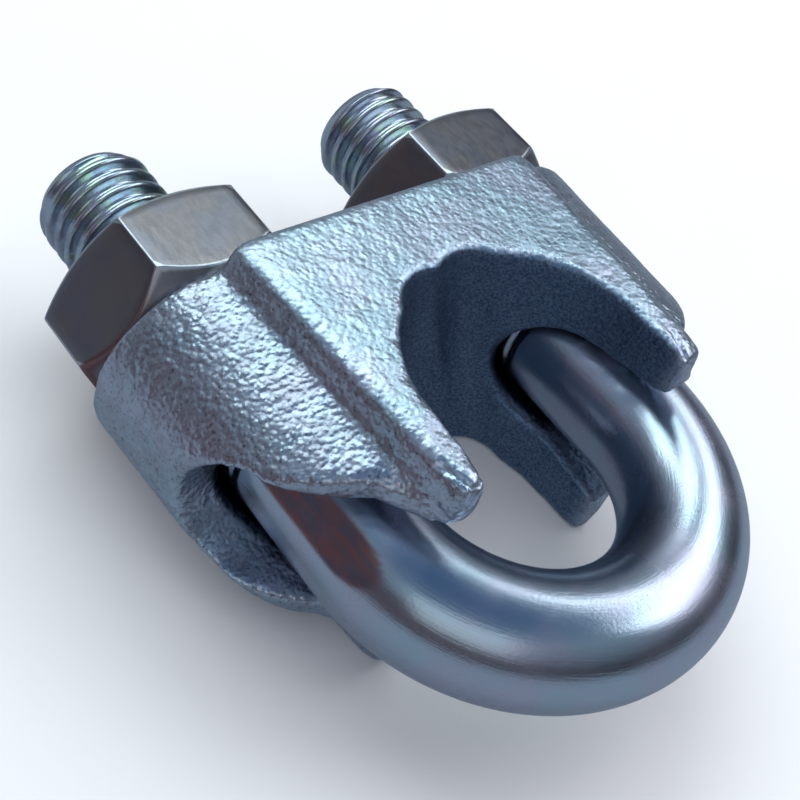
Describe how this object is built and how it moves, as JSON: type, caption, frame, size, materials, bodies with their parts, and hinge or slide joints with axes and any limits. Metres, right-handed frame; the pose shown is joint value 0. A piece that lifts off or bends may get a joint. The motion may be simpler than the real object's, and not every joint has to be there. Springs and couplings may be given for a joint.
{
  "type": "wire rope clip",
  "caption": "Wire rope clip: a threaded U-bolt carries a cast saddle with a fluted rope groove, clamped by two hexagon nuts.",
  "frame": {"origin": "on the axis of the saddle's rope groove, at the middle of the saddle's thickness", "axes": "+X across the two legs, +Y along the legs towards the nuts, +Z along the rope, so the clip lies on its back face as stored"},
  "size_m": [0.0474, 0.0572, 0.0224],
  "materials": {
    "zinc_rod": "bright blue-white zinc plate on smooth drawn rod",
    "zinc_casting": "blue-white zinc plate on granular malleable iron casting",
    "zinc_nut": "satin grey zinc plate"
  },
  "bodies": {
    "u_bolt": {"u_bolt": "zinc_rod"},
    "saddle": {"saddle": "zinc_casting"},
    "nut_left": {"nut_left": "zinc_nut"},
    "nut_right": {"nut_right": "zinc_nut"}
  },
  "joints": [
    {"name": "saddle_slide", "type": "slide", "parent": "u_bolt", "child": "saddle", "axis": [0, 1, 0], "range_m": [-0.008, 0.0085]},
    {"name": "nut_left_turn", "type": "hinge", "parent": "saddle", "child": "nut_left", "pos_m": [-0.01375, 0.0223, 0], "axis": [0, 1, 0], "range_deg": [-1920, 2040]},
    {"name": "nut_right_turn", "type": "hinge", "parent": "saddle", "child": "nut_right", "pos_m": [0.01375, 0.0223, 0], "axis": [0, 1, 0], "range_deg": [-1920, 2040]}
  ],
  "couplings": [
    {"joint": "nut_left_turn", "follows": "saddle_slide", "rad_per_m": 4188.8},
    {"joint": "nut_right_turn", "follows": "saddle_slide", "rad_per_m": 4188.8}
  ]
}
